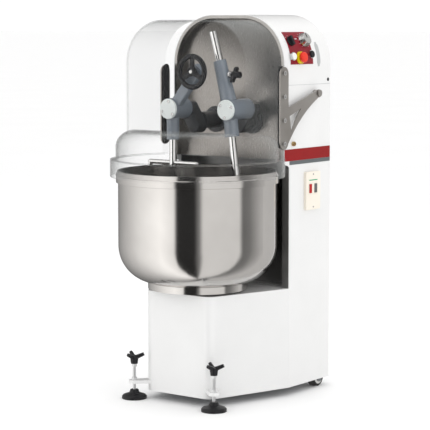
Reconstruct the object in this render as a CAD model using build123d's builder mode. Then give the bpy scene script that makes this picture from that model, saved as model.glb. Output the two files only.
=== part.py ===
from build123d import *
from math import cos, sin, radians
import os

# Twin-arm dough mixer: a floor-standing shop machine.
# Millimetres, +Z up, the front faces -Y, the operator's controls are on the +X side.
# The origin is on the floor, under the middle of the overall box.

# ---- driving dimensions -------------------------------------------------------------
BOWL_Y = -89.5                 # bowl axis, in front of the middle of the machine
HALF_WIDTH = 260.0             # column and rear of the base
HEIGHT = 1440.0
SHEET = 3.0                    # casing sheet
BASE_BOTTOM = 32.0
BASE_TOP = 411.0
BASE_FRONT = BOWL_Y - 126.0
BASE_FRONT_HALF = 148.0
LOWER_FRONT = BOWL_Y + 225.0   # front edge of the column beside the bowl
UPPER_FRONT = BOWL_Y + 190.0   # front edge of the column above the bowl
REAR = BOWL_Y + 503.0
STEP_LOW = 862.0               # the front edge of the sides steps forward between these heights
STEP_HIGH = 892.0
HOOD_SEAM = 1177.0
SHOULDER_R = 186.0
SHOULDER_X = HALF_WIDTH - SHOULDER_R
SHOULDER_Z = HEIGHT - SHOULDER_R
NICHE_Y = BOWL_Y + 318.0       # back wall behind the bowl
NICHE_TOP = 897.0
ARM_PANEL_Y = BOWL_Y + 230.0

BOWL_R = 297.5
BOWL_WALL = 5.5
RIM_Z = 862.0
BOWL_BOTTOM = 443.0
BOWL_CORNER = 140.0
COLLAR_OUT = 7.5               # band under the rim, beyond the bowl wall
LIP_OUT = 9.0
TURNTABLE_R = 187.0

GUARD_HALF = 275.0
GUARD_FRONT = BOWL_Y - 94.0
GUARD_REAR = BOWL_Y + 150.0
GUARD_TOP = 1420.0
EAR_REAR = BOWL_Y + 172.0      # the sides reach further back than the crown, under the brackets
EAR_TOP = 1252.0
GUARD_SHOULDER = 163.0
GUARD_WALL = 4.0
DOME_R = 306.0
DOME_TOP = 1010.0
SKIRT_R = 327.0
SKIRT_TOP = 905.0
SKIRT_BOTTOM = 840.0
PIVOT_Y = BOWL_Y + 393.0
PIVOT_Z = 1143.0
BRACKET_X = 277.0
BRACKET_THICK = 5.0

SHAFT_X = 85.0                 # crank shafts, one each side
SHAFT_Z = 1040.0
SHAFT_R = 20.0
PIN_X = 113.0                  # crank pins as parked
PIN_Z = 1088.0
PIN_R = 16.0
FIT = 0.05                     # radial clearance of a running fit
BARREL_R = 40.0
LEFT_PLANE = BOWL_Y - 5.0      # the left tool works in front of the right one
RIGHT_PLANE = BOWL_Y + 56.0

GLAND_Y = REAR - 35.0          # mains cable entry, low on the left side
GLAND_Z = 120.0
GLAND_R = 11.0
PIVOT_R = 8.0

PULLEY_Y = BOWL_Y + 465.0
PULLEY_WIDTH = 25.0
MOTOR_Z = 640.0
BOWL_PULLEY_Z = 230.0
BOWL_MOTOR_Y = BOWL_Y + 300.0

FOOT_X = 187.0
FOOT_Y = BOWL_Y - 150.0
WHEEL_R = 35.0
WHEEL_X = 231.0
WHEEL_Y = BOWL_Y + 450.0

os.makedirs("parts", exist_ok=True)


def save(builder, name):
    """Label a finished piece and write it."""
    builder.part.label = name
    export_step(builder.part, f"parts/{name}.step")


def xz(y):
    """Upright plane at depth y, seen from the front: local x is X, local y is Z, normal -Y."""
    return Plane.XZ.offset(-y)


def yz(x):
    """Upright plane at x, seen from the right side: local x is Y, local y is Z, normal +X."""
    return Plane.YZ.offset(x)


def along(start, end):
    """Plane at start whose normal points to end."""
    direction = Vector(*end) - Vector(*start)
    return Plane(origin=start, z_dir=direction)


def shoulder(y, angle, height=0.0):
    """Plane on the hood's right shoulder, normal outwards, at angle degrees above level."""
    out = radians(angle)
    reach = SHOULDER_R + height
    return Plane(
        origin=(SHOULDER_X + reach * cos(out), y, SHOULDER_Z + reach * sin(out)),
        x_dir=(0, 1, 0),
        z_dir=(cos(out), 0, sin(out)),
    )


def outward(place):
    """Axis pointing out of the shoulder at one of the controls."""
    return Axis((0, 0, 0), shoulder(*place).z_dir)


# ---- casings and structure ----------------------------------------------------------
def base_plan(rear, inset=0.0):
    """Plan of the base: a narrow rounded front that widens to the column."""
    with BuildSketch() as plan:
        with BuildLine():
            Polyline(
                (-BASE_FRONT_HALF, BASE_FRONT),
                (BASE_FRONT_HALF, BASE_FRONT),
                (HALF_WIDTH, LOWER_FRONT),
                (HALF_WIDTH, rear),
                (-HALF_WIDTH, rear),
                (-HALF_WIDTH, LOWER_FRONT),
                close=True,
            )
        make_face()
        fillet(plan.vertices().group_by(Axis.Y)[0], 40)
        if inset:
            offset(amount=-inset, mode=Mode.REPLACE)
    return plan.sketch


def arch(half, top, radius, bottom):
    """Upright arch outline: straight sides, round shoulders, flat crown."""
    with BuildSketch(Plane.XZ) as outline:
        with BuildLine():
            shoulder_x = half - radius
            shoulder_z = top - radius
            Polyline((-half, shoulder_z), (-half, bottom), (half, bottom), (half, shoulder_z))
            CenterArc((shoulder_x, shoulder_z), radius, 0, 90)
            Line((shoulder_x, top), (-shoulder_x, top))
            CenterArc((-shoulder_x, shoulder_z), radius, 90, 90)
        make_face()
    return outline.sketch


def arch_solid(half, top, radius, bottom, front, rear):
    """The arch outline run from front to rear."""
    with BuildPart(mode=Mode.PRIVATE) as run:
        add(arch(half, top, radius, bottom))
        extrude(amount=rear - front, dir=(0, -1, 0))
    return run.part.moved(Location((0, rear, 0)))


def hood_solid(inset, bottom, front, rear):
    """The column's arch, inset all round."""
    return arch_solid(HALF_WIDTH - inset, HEIGHT - inset, SHOULDER_R - inset, bottom, front, rear)


with BuildPart() as base_casing:
    add(base_plan(LOWER_FRONT + 60))
    extrude(amount=BASE_TOP - SHEET - BASE_BOTTOM)
    with BuildSketch():
        add(base_plan(LOWER_FRONT + 60, SHEET))
    extrude(amount=BASE_TOP - SHEET - BASE_BOTTOM, mode=Mode.SUBTRACT)
    with Locations((0, LOWER_FRONT, -1)):
        Box(600, 200, 500, align=(Align.CENTER, Align.MIN, Align.MIN), mode=Mode.SUBTRACT)
base_casing.part = base_casing.part.moved(Location((0, 0, BASE_BOTTOM)))
save(base_casing, "base_casing")

with BuildPart() as base_top_plate:
    with BuildSketch(Plane.XY.offset(BASE_TOP - SHEET)):
        add(base_plan(NICHE_Y))
        with Locations((0, (LOWER_FRONT + NICHE_Y) / 2 + 20)):
            Rectangle(2 * HALF_WIDTH + 2, NICHE_Y - LOWER_FRONT + 40, mode=Mode.SUBTRACT)
        with Locations((0, (LOWER_FRONT + NICHE_Y) / 2 - 1)):
            Rectangle(2 * HALF_WIDTH - 2 * SHEET - 0.2, NICHE_Y - LOWER_FRONT + 2)
        with Locations((0, BOWL_Y)):
            Circle(60, mode=Mode.SUBTRACT)
    extrude(amount=SHEET)
save(base_top_plate, "base_top_plate")


def side_panel(sign):
    """One side of the column, from the base to the hood seam, stepping forward above the bowl."""
    outer = sign * HALF_WIDTH
    with BuildPart() as panel:
        with BuildSketch(Plane.YZ.offset(min(outer, outer - sign * SHEET))):
            with BuildLine():
                lower = Line((LOWER_FRONT, BASE_BOTTOM), (LOWER_FRONT, STEP_LOW))
                Spline(
                    lower @ 1,
                    (UPPER_FRONT, STEP_HIGH),
                    tangents=[(0, 1), (0, 1)],
                )
                Polyline(
                    (UPPER_FRONT, STEP_HIGH),
                    (UPPER_FRONT, HOOD_SEAM),
                    (REAR, HOOD_SEAM),
                    (REAR, BASE_BOTTOM),
                    lower @ 0,
                )
            make_face()
            with Locations((PIVOT_Y, PIVOT_Z)):
                Circle(PIVOT_R, mode=Mode.SUBTRACT)
            if sign < 0:
                with Locations((GLAND_Y, GLAND_Z)):
                    Circle(GLAND_R, mode=Mode.SUBTRACT)
        extrude(amount=SHEET)
    return panel


for label, sign in (("side_panel_left", -1), ("side_panel_right", 1)):
    side = side_panel(sign)
    save(side, label)

# Welded frame: floor pan, two posts, and the shelves that carry the drive.
POST_X = 215.0
POST_Y = BOWL_Y + 450
FRAME_PLATE = 6.0
SHELF_FRONT = BOWL_Y + 295
with BuildPart() as chassis_frame:
    with BuildSketch(Plane.XY.offset(BASE_BOTTOM)):
        add(base_plan(REAR - SHEET, SHEET + 0.5))
        for side_x in (-WHEEL_X, WHEEL_X):
            with Locations((side_x, WHEEL_Y)):
                Rectangle(52, 96, mode=Mode.SUBTRACT)
    extrude(amount=FRAME_PLATE)
    for side_x in (-POST_X, POST_X):
        with Locations((side_x - 15 * (1 if side_x > 0 else -1), POST_Y - 70, BASE_BOTTOM)):
            Box(40, 30, 1140, align=(Align.CENTER, Align.CENTER, Align.MIN))
    with Locations((0, POST_Y - 70, MOTOR_Z - 90)):
        Box(2 * POST_X - 10, 100, 10)
    with Locations((0, SHELF_FRONT + 55, SHAFT_Z - 96)):
        Box(2 * POST_X - 10, 120, 10)
save(chassis_frame, "chassis_frame")

with BuildPart() as rear_cover:
    with BuildSketch(xz(REAR)):
        with Locations((0, (BASE_BOTTOM + HOOD_SEAM) / 2)):
            Rectangle(2 * (HALF_WIDTH - SHEET) - 0.4, HOOD_SEAM - BASE_BOTTOM - 1)
        for vent_z in (300, 900):
            with Locations((0, vent_z)):
                with GridLocations(130, 22, 2, 7):
                    SlotOverall(110, 8, mode=Mode.SUBTRACT)
    extrude(amount=SHEET)
save(rear_cover, "rear_cover")

# ---- controls: places on the hood's right shoulder -------------------------------------
START = (BOWL_Y + 242, 9.0)
STOP = (BOWL_Y + 365, 11.0)
ESTOP = (BOWL_Y + 292, 7.5)
SELECTOR = (BOWL_Y + 252, 27.0)
TIMER = (BOWL_Y + 343, 28.0)
STEM_R = 5.0
PLATE = 2.0

with BuildPart() as top_hood:
    add(hood_solid(0, HOOD_SEAM, UPPER_FRONT, REAR))
    add(hood_solid(SHEET, HOOD_SEAM - 1, UPPER_FRONT - 1, REAR - SHEET), mode=Mode.SUBTRACT)
    for place in (START, STOP, ESTOP, SELECTOR, TIMER):
        with Locations(shoulder(*place, -15)):
            Cylinder(STEM_R + 0.5, 30, mode=Mode.SUBTRACT)
save(top_hood, "top_hood")

with BuildPart() as hood_front_frame:
    add(hood_solid(SHEET + 0.2, NICHE_TOP, UPPER_FRONT, ARM_PANEL_Y))
    add(hood_solid(14, NICHE_TOP - 1, UPPER_FRONT - 1, UPPER_FRONT + 3), mode=Mode.SUBTRACT)
    add(hood_solid(6, NICHE_TOP - 1, UPPER_FRONT + 2, ARM_PANEL_Y + 1), mode=Mode.SUBTRACT)
save(hood_front_frame, "hood_front_frame")

with BuildPart() as arm_panel:
    add(hood_solid(SHEET + 0.2, NICHE_TOP, ARM_PANEL_Y, ARM_PANEL_Y + SHEET))
    for shaft_x in (-SHAFT_X, SHAFT_X):
        with Locations((shaft_x, ARM_PANEL_Y, SHAFT_Z)):
            Cylinder(SHAFT_R + 10, 20, rotation=(90, 0, 0), mode=Mode.SUBTRACT)
save(arm_panel, "arm_panel")

# Liner behind the bowl: back wall, ceiling and the two front flanges.
FLANGE = 29.0
LINER_HALF = HALF_WIDTH - SHEET - 0.1
with BuildPart() as niche_panel:
    with Locations((0, NICHE_Y, BASE_TOP)):
        Box(2 * LINER_HALF, SHEET, NICHE_TOP - BASE_TOP, align=(Align.CENTER, Align.MIN, Align.MIN))
    with Locations((0, ARM_PANEL_Y, NICHE_TOP - SHEET)):
        Box(2 * LINER_HALF, NICHE_Y - ARM_PANEL_Y + SHEET, SHEET,
            align=(Align.CENTER, Align.MIN, Align.MIN))
    for sign in (-1, 1):
        with Locations((sign * (LINER_HALF - 1), LOWER_FRONT, BASE_TOP)):
            Box(2, NICHE_Y - LOWER_FRONT + SHEET, STEP_LOW - BASE_TOP,
                align=(Align.CENTER, Align.MIN, Align.MIN))
        with Locations((sign * (LINER_HALF - FLANGE / 2), LOWER_FRONT, BASE_TOP)):
            Box(FLANGE, 2, STEP_LOW - BASE_TOP, align=(Align.CENTER, Align.MIN, Align.MIN))
        with Locations((sign * (LINER_HALF - 1), ARM_PANEL_Y, BASE_TOP)):
            Box(2, NICHE_Y - ARM_PANEL_Y, NICHE_TOP - BASE_TOP,
                align=(Align.CENTER, Align.MIN, Align.MIN))
save(niche_panel, "niche_panel")

LABEL_LOW = 878.0
LABEL_SPLIT = 893.0
LABEL_TOP = 937.0
with BuildPart() as side_label:
    with Locations((HALF_WIDTH, LOWER_FRONT, LABEL_LOW)):
        Box(1, REAR - LOWER_FRONT - 2, LABEL_SPLIT - LABEL_LOW - 0.5, align=Align.MIN)
    with Locations((HALF_WIDTH, UPPER_FRONT + 2, LABEL_SPLIT)):
        Box(1, REAR - UPPER_FRONT - 4, LABEL_TOP - LABEL_SPLIT, align=Align.MIN)
save(side_label, "side_label")

# Red plate that wraps round the shoulder under the controls.
PLATE_FRONT = BOWL_Y + 231
PLATE_LONG = 149.0
PLATE_ARC = 40.0               # degrees, from level
with BuildPart() as control_plate:
    with BuildSketch(xz(PLATE_FRONT)):
        with BuildLine():
            inside = CenterArc((SHOULDER_X, SHOULDER_Z), SHOULDER_R, 0, PLATE_ARC)
            outside = CenterArc((SHOULDER_X, SHOULDER_Z), SHOULDER_R + PLATE, 0, PLATE_ARC)
            Line(inside @ 0, outside @ 0)
            Line(inside @ 1, outside @ 1)
        make_face()
    extrude(amount=-PLATE_LONG)
    for place in (START, STOP, ESTOP, SELECTOR, TIMER):
        with Locations(shoulder(*place, 0)):
            Cylinder(STEM_R + 0.5, 30, mode=Mode.SUBTRACT)
save(control_plate, "control_plate")

# Rings that the three push buttons sit in. The plate is curved, so each ring is set into it.
RING_HEIGHT = 9.0
with BuildPart() as button_bezels:
    for place, ring_r, bore_r in ((START, 16, 13.4), (STOP, 16, 13.4), (ESTOP, 23, 11)):
        with Locations(shoulder(*place, 0)):
            Cylinder(ring_r, RING_HEIGHT, align=(Align.CENTER, Align.CENTER, Align.MIN))
            Cylinder(bore_r, 30, mode=Mode.SUBTRACT)
    add(arch_solid(
        HALF_WIDTH + PLATE + 0.02, HEIGHT + PLATE, SHOULDER_R + PLATE, 1000, UPPER_FRONT, REAR,
    ), mode=Mode.SUBTRACT)
save(button_bezels, "button_bezels")

for label, place in (("start_button", START), ("stop_button", STOP)):
    with BuildPart() as button:
        with Locations(shoulder(*place, PLATE + 4)):
            Cylinder(13, 9, align=(Align.CENTER, Align.CENTER, Align.MIN))
        fillet(button.faces().sort_by(outward(place))[-1].edges(), 2)
        with Locations(shoulder(*place, PLATE + 4)):
            Cylinder(STEM_R, 18, align=(Align.CENTER, Align.CENTER, Align.MAX))
    save(button, label)

with BuildPart() as estop_button:
    with Locations(shoulder(*ESTOP, 16)):
        Cylinder(20, 12, align=(Align.CENTER, Align.CENTER, Align.MIN))
    fillet(estop_button.faces().sort_by(outward(ESTOP))[-1].edges(), 6)
    with Locations(shoulder(*ESTOP, 16)):
        Cylinder(10.5, 9, align=(Align.CENTER, Align.CENTER, Align.MAX))
    with Locations(shoulder(*ESTOP, 7)):
        Cylinder(STEM_R, 25, align=(Align.CENTER, Align.CENTER, Align.MAX))
save(estop_button, "estop_button")

SELECTOR_LIFT = 1.6            # clear of the curved plate all round
SELECTOR_GRIP = (12.0, 36.0, 15.0)
TIMER_LIFT = 2.1
STEM_LONG = 22.0
with BuildPart() as selector_knob:
    with Locations(shoulder(*SELECTOR, PLATE + SELECTOR_LIFT)):
        Cylinder(19, 6, align=(Align.CENTER, Align.CENTER, Align.MIN))
        Box(*SELECTOR_GRIP, align=(Align.CENTER, Align.CENTER, Align.MIN))
        Cylinder(STEM_R, STEM_LONG, align=(Align.CENTER, Align.CENTER, Align.MAX))
save(selector_knob, "selector_knob")

with BuildPart() as timer_knob:
    with Locations(shoulder(*TIMER, PLATE + TIMER_LIFT)):
        Cone(27, 22, 20, align=(Align.CENTER, Align.CENTER, Align.MIN))
        Cylinder(STEM_R, STEM_LONG, align=(Align.CENTER, Align.CENTER, Align.MAX))
save(timer_knob, "timer_knob")

# ---- breaker box on the right side -----------------------------------------------------
BREAKER_Y = BOWL_Y + 371.5
BREAKER_Z = 772.5
BREAKER_DEEP = 11.0
KEY_Z = 781.0
KEY_Y = (BOWL_Y + 352, BOWL_Y + 387)
KEY_SIZE = (16.0, 34.0)
with BuildPart() as breaker_box:
    with BuildSketch(yz(HALF_WIDTH)):
        with Locations((BREAKER_Y, BREAKER_Z)):
            RectangleRounded(97, 145, 5)
    extrude(amount=BREAKER_DEEP)
    for key_y in KEY_Y:
        with Locations((HALF_WIDTH + BREAKER_DEEP, key_y, KEY_Z)):
            Box(14, KEY_SIZE[0] + 0.8, KEY_SIZE[1] + 0.8, mode=Mode.SUBTRACT)
save(breaker_box, "breaker_box")
for label, key_y in (("breaker_off_key", KEY_Y[0]), ("breaker_on_key", KEY_Y[1])):
    with BuildPart() as key:
        with Locations((HALF_WIDTH + 7, key_y, KEY_Z)):
            Box(6, *KEY_SIZE, align=(Align.MIN, Align.CENTER, Align.CENTER))
    save(key, label)

# ---- bowl and its drive ------------------------------------------------------------------
TURNTABLE_LOW = 420.0
BOWL_SHAFT_R = 22.0
with BuildPart() as bowl:
    with BuildSketch(Plane.XZ):
        with BuildLine():
            outer_low = BOWL_R - BOWL_CORNER
            inner_r = BOWL_R - BOWL_WALL
            Line((0, BOWL_BOTTOM), (outer_low, BOWL_BOTTOM))
            CenterArc((outer_low, BOWL_BOTTOM + BOWL_CORNER), BOWL_CORNER, -90, 90)
            Polyline(
                (BOWL_R, BOWL_BOTTOM + BOWL_CORNER),
                (BOWL_R, RIM_Z - 45),
                (BOWL_R + COLLAR_OUT, RIM_Z - 43),
                (BOWL_R + COLLAR_OUT, RIM_Z - 18),
                (BOWL_R + LIP_OUT, RIM_Z - 16),
                (BOWL_R + 3, RIM_Z),
                (inner_r, RIM_Z),
                (inner_r, BOWL_BOTTOM + BOWL_CORNER),
            )
            CenterArc((outer_low, BOWL_BOTTOM + BOWL_CORNER), BOWL_CORNER - BOWL_WALL, 0, -90)
            Polyline(
                (outer_low, BOWL_BOTTOM + BOWL_WALL),
                (0, BOWL_BOTTOM + BOWL_WALL),
                (0, BOWL_BOTTOM),
            )
        make_face()
    revolve(axis=Axis.Z)
bowl.part = bowl.part.moved(Location((0, BOWL_Y, 0)))
save(bowl, "bowl")

with BuildPart() as turntable:
    with BuildSketch(Plane.XZ):
        with BuildLine():
            Polyline(
                (BOWL_SHAFT_R, TURNTABLE_LOW),
                (TURNTABLE_R, TURNTABLE_LOW),
                (TURNTABLE_R, BOWL_BOTTOM + 2.6),
                (172, BOWL_BOTTOM + 0.3),
                (160, BOWL_BOTTOM),
                (BOWL_SHAFT_R, BOWL_BOTTOM),
                close=True,
            )
        make_face()
    revolve(axis=Axis.Z)
turntable.part = turntable.part.moved(Location((0, BOWL_Y, 0)))
save(turntable, "turntable")

BEARING_LOW = 300.0
with BuildPart() as bowl_shaft:
    with Locations((0, BOWL_Y, 215)):
        Cylinder(BOWL_SHAFT_R, BOWL_BOTTOM - 215, align=(Align.CENTER, Align.CENTER, Align.MIN))
    with Locations((0, BOWL_Y, BOWL_PULLEY_Z)):
        Cylinder(106, 2.5, align=(Align.CENTER, Align.CENTER, Align.MIN))
        Cylinder(100, 25, align=(Align.CENTER, Align.CENTER, Align.MIN))
    with Locations((0, BOWL_Y, BOWL_PULLEY_Z + 22.5)):
        Cylinder(106, 2.5, align=(Align.CENTER, Align.CENTER, Align.MIN))
save(bowl_shaft, "bowl_shaft")

SLEEVE_FRONT = BOWL_Y + 129
with BuildPart() as bearings:
    with Locations((0, BOWL_Y, BASE_TOP - SHEET)):
        Cylinder(90, 10, align=(Align.CENTER, Align.CENTER, Align.MAX))
        Cylinder(48, BASE_TOP - SHEET - BEARING_LOW, align=(Align.CENTER, Align.CENTER, Align.MAX))
    with Locations((0, BOWL_Y, 350)):
        Cylinder(BOWL_SHAFT_R + FIT, 200, mode=Mode.SUBTRACT)
    for shaft_x, nose in ((-SHAFT_X, SLEEVE_FRONT), (SHAFT_X, ARM_PANEL_Y - 14)):
        with BuildSketch(xz(nose)):
            with Locations((shaft_x, SHAFT_Z)):
                Circle(SHAFT_R + 12)
        extrude(amount=-(ARM_PANEL_Y - nose))
        with BuildSketch(xz(ARM_PANEL_Y - 8)):
            with Locations((shaft_x, SHAFT_Z)):
                Circle(50)
        extrude(amount=-8)
        with BuildSketch(xz(nose - 1)):
            with Locations((shaft_x, SHAFT_Z)):
                Circle(SHAFT_R + FIT)
        extrude(amount=-200, mode=Mode.SUBTRACT)
save(bearings, "bearings")

with BuildPart() as bowl_motor:
    with Locations((0, BOWL_MOTOR_Y, BASE_BOTTOM + FRAME_PLATE)):
        Box(140, 140, 12, align=(Align.CENTER, Align.CENTER, Align.MIN))
        Cylinder(62, 175, align=(Align.CENTER, Align.CENTER, Align.MIN))
    with Locations((0, BOWL_MOTOR_Y, 200)):
        Cylinder(10 + FIT, 60, mode=Mode.SUBTRACT)
save(bowl_motor, "bowl_motor")

with BuildPart() as bowl_motor_pulley:
    with Locations((0, BOWL_MOTOR_Y, 180)):
        Cylinder(10, 80, align=(Align.CENTER, Align.CENTER, Align.MIN))
    with Locations((0, BOWL_MOTOR_Y, BOWL_PULLEY_Z)):
        Cylinder(31, 2.5, align=(Align.CENTER, Align.CENTER, Align.MIN))
        Cylinder(25, 25, align=(Align.CENTER, Align.CENTER, Align.MIN))
    with Locations((0, BOWL_MOTOR_Y, BOWL_PULLEY_Z + 22.5)):
        Cylinder(31, 2.5, align=(Align.CENTER, Align.CENTER, Align.MIN))
save(bowl_motor_pulley, "bowl_motor_pulley")


def belt(plane, first, first_r, second, second_r, width):
    """Open belt round two pulleys, 4 mm thick."""
    gap = 0.4
    with BuildPart() as loop:
        with BuildSketch(plane):
            with Locations(first):
                Circle(first_r + gap + 4)
            with Locations(second):
                Circle(second_r + gap + 4)
            make_hull()
        extrude(amount=width)
        with BuildSketch(plane):
            with Locations(first):
                Circle(first_r + gap)
            with Locations(second):
                Circle(second_r + gap)
            make_hull()
        extrude(amount=width, mode=Mode.SUBTRACT)
    return loop


bowl_belt = belt(Plane.XY.offset(BOWL_PULLEY_Z + 3.5), (0, BOWL_Y), 100, (0, BOWL_MOTOR_Y), 25, 18)
save(bowl_belt, "bowl_belt")

# ---- arm drive -------------------------------------------------------------------------------
with BuildPart() as motor:
    with BuildSketch(xz(BOWL_Y + 325)):
        with Locations((SHAFT_X, MOTOR_Z)):
            Circle(70)
        with Locations((SHAFT_X, MOTOR_Z - 62)):
            Rectangle(130, 46)
    extrude(amount=-120)
    with BuildSketch(xz(BOWL_Y + 400)):
        with Locations((SHAFT_X, MOTOR_Z)):
            Circle(11 + FIT)
    extrude(amount=-60, mode=Mode.SUBTRACT)
save(motor, "motor")


def pulley(x, z, radius, bore):
    """Flanged belt pulley on an axis along Y."""
    with BuildPart() as wheel:
        for start, width, rim in ((0, PULLEY_WIDTH, radius), (0, 2.5, radius + 6),
                                  (PULLEY_WIDTH - 2.5, 2.5, radius + 6)):
            with BuildSketch(xz(PULLEY_Y + start)):
                with Locations((x, z)):
                    Circle(rim)
                    Circle(bore, mode=Mode.SUBTRACT)
            extrude(amount=-width)
    return wheel


with BuildPart() as motor_pulley:
    add(pulley(SHAFT_X, MOTOR_Z, 25, 5).part)
    with BuildSketch(xz(BOWL_Y + 402)):
        with Locations((SHAFT_X, MOTOR_Z)):
            Circle(11)
    extrude(amount=-(PULLEY_Y + PULLEY_WIDTH - BOWL_Y - 402))
save(motor_pulley, "motor_pulley")

driven_pulley = pulley(SHAFT_X, SHAFT_Z, 100, SHAFT_R)
save(driven_pulley, "driven_pulley")

drive_belt = belt(xz(PULLEY_Y + PULLEY_WIDTH - 3.5), (SHAFT_X, MOTOR_Z), 25, (SHAFT_X, SHAFT_Z), 100, 18)
save(drive_belt, "drive_belt")

GEAR_Y = BOWL_Y + 330
GEAR_WIDTH = 30.0
GEAR_R = 55.0
IDLER_R = SHAFT_X - GEAR_R
GEAR_TEETH = 22
IDLER_TEETH = 12


def gear(x, pitch_r, teeth, bore, first_tooth=0.0):
    """Spur gear with straight-flanked teeth and working backlash, on an axis along Y."""
    with BuildPart() as wheel:
        with BuildSketch(xz(GEAR_Y)):
            with Locations((x, SHAFT_Z)):
                Circle(pitch_r - 6)
                with PolarLocations(0, teeth, start_angle=first_tooth):
                    with Locations((pitch_r - 1.5, 0)):
                        Trapezoid(7.0, 10.0, 74, rotation=-90)
                if bore:
                    Circle(bore, mode=Mode.SUBTRACT)
        extrude(amount=-GEAR_WIDTH)
    return wheel


left_gear = gear(-SHAFT_X, GEAR_R, GEAR_TEETH, SHAFT_R)
save(left_gear, "left_gear")
right_gear = gear(SHAFT_X, GEAR_R, GEAR_TEETH, SHAFT_R)
save(right_gear, "right_gear")

IDLER_SHAFT_R = 9.0
BOX_FRONT = BOWL_Y + 300
BOX_REAR = BOWL_Y + 400
BOX_WALL = 10.0
with BuildPart() as idler_gear:
    add(gear(0, IDLER_R, IDLER_TEETH, 0, 180 / IDLER_TEETH).part)
    with BuildSketch(xz(BOX_FRONT + 1)):
        with Locations((0, SHAFT_Z)):
            Circle(IDLER_SHAFT_R)
    extrude(amount=-(BOX_REAR - BOX_FRONT - 2))
save(idler_gear, "idler_gear")

with BuildPart() as gearbox_housing:
    with BuildSketch(xz(BOX_FRONT)):
        with Locations((0, SHAFT_Z)):
            RectangleRounded(320, 162, 20)
    extrude(amount=-(BOX_REAR - BOX_FRONT))
    with BuildSketch(xz(BOX_FRONT + BOX_WALL)):
        with Locations((0, SHAFT_Z)):
            RectangleRounded(300, 142, 12)
    extrude(amount=-(BOX_REAR - BOX_FRONT - 2 * BOX_WALL), mode=Mode.SUBTRACT)
    with BuildSketch(xz(BOX_FRONT - 1)):
        with Locations((-SHAFT_X, SHAFT_Z), (SHAFT_X, SHAFT_Z)):
            Circle(SHAFT_R + FIT)
        with Locations((0, SHAFT_Z)):
            Circle(IDLER_SHAFT_R + FIT)
    extrude(amount=-(BOX_REAR - BOX_FRONT + 2), mode=Mode.SUBTRACT)
    with Locations((0, SHELF_FRONT + 55, SHAFT_Z - 86)):
        Box(300, 90, 5, align=(Align.CENTER, Align.CENTER, Align.MAX))
    with Locations((0, SHELF_FRONT + 55, SHAFT_Z - 91)):
        Box(300, 90, 12, align=(Align.CENTER, Align.CENTER, Align.MIN))
save(gearbox_housing, "gearbox_housing")


def crank(sign, front, rear, shaft_rear):
    """Crank block with its pin in front and its shaft behind, one forging."""
    reach = Vector(sign * (PIN_X - SHAFT_X), PIN_Z - SHAFT_Z).normalized()
    tail = Vector(sign * SHAFT_X, SHAFT_Z) - reach * 22
    with BuildPart() as forging:
        with BuildSketch(xz(front)):
            with Locations((sign * PIN_X, PIN_Z), (tail.X, tail.Y)):
                Circle(26)
            make_hull()
        extrude(amount=-(rear - front))
        chamfer(forging.edges().filter_by(GeomType.LINE).filter_by(Axis.Y, reverse=True), 3)
        with BuildSketch(xz(rear)):
            with Locations((sign * SHAFT_X, SHAFT_Z)):
                Circle(SHAFT_R)
        extrude(amount=-(shaft_rear - rear))
        with BuildSketch(xz(front)):
            with Locations((sign * PIN_X, PIN_Z)):
                Circle(PIN_R)
        extrude(amount=PIN_LENGTH[sign])
    return forging


# The left arm swings in front of the right one, so the two never meet.
PIN_LENGTH = {-1: 90.0, 1: 121.0}
LEFT_BARREL = (BOWL_Y - 30, BOWL_Y + 64)
RIGHT_BARREL = (BOWL_Y + 26, BOWL_Y + 151)
CRANK_GAP = 3.0
left_crank = crank(-1, LEFT_BARREL[1] + CRANK_GAP, BOWL_Y + 122, BOWL_Y + 440)
save(left_crank, "left_crank")
right_crank = crank(1, RIGHT_BARREL[1] + CRANK_GAP, BOWL_Y + 210, PULLEY_Y + PULLEY_WIDTH)
save(right_crank, "right_crank")

# ---- arms ---------------------------------------------------------------------------------
WHEEL_HUB = (5.0, 1229.0)      # handwheel centre, X and Z
ROD_R = 14.0
CAP_R = 38.0
CAP_THICK = 8.0
BORE_END = 6.0                 # metal left in front of each blind bore


def barrel_bore(x, front, rear):
    """Blind running bore for the crank pin, open at the rear."""
    with BuildPart(mode=Mode.PRIVATE) as bore:
        with BuildSketch(xz(rear + 1)):
            with Locations((x, PIN_Z)):
                Circle(PIN_R + FIT)
        extrude(amount=rear - front - BORE_END + 1)
    return bore.part


LINK_FRONT = LEFT_PLANE - 15
LINK_REAR = LEFT_PLANE + 15
with BuildPart() as left_arm:
    with BuildSketch(xz(LEFT_BARREL[0])):
        with Locations((-PIN_X, PIN_Z)):
            Circle(BARREL_R)
    extrude(amount=-(LEFT_BARREL[1] - LEFT_BARREL[0]))
    link_start = Vector(-PIN_X, LEFT_PLANE, PIN_Z)
    link_end = Vector(WHEEL_HUB[0], LEFT_PLANE, WHEEL_HUB[1])
    link_plane = Plane(origin=link_start, x_dir=(0, 1, 0), z_dir=link_end - link_start)
    with BuildSketch(link_plane):
        RectangleRounded(LINK_REAR - LINK_FRONT, 42, 6)
    extrude(amount=(link_end - link_start).length + 20)
    with BuildSketch(Plane.XY.offset(PIN_Z)):
        with Locations((-PIN_X, LEFT_PLANE)):
            Circle(24)
    extrude(amount=-115)
    add(barrel_bore(-PIN_X, *LEFT_BARREL), mode=Mode.SUBTRACT)
    with BuildSketch(xz(LINK_FRONT - 1)):
        with Locations(WHEEL_HUB):
            Circle(7 + FIT)
    extrude(amount=-40, mode=Mode.SUBTRACT)
    with BuildSketch(Plane.XY.offset(PIN_Z - 116)):
        with Locations((-PIN_X, LEFT_PLANE)):
            Circle(ROD_R)
    extrude(amount=45, mode=Mode.SUBTRACT)
save(left_arm, "left_arm")

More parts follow.
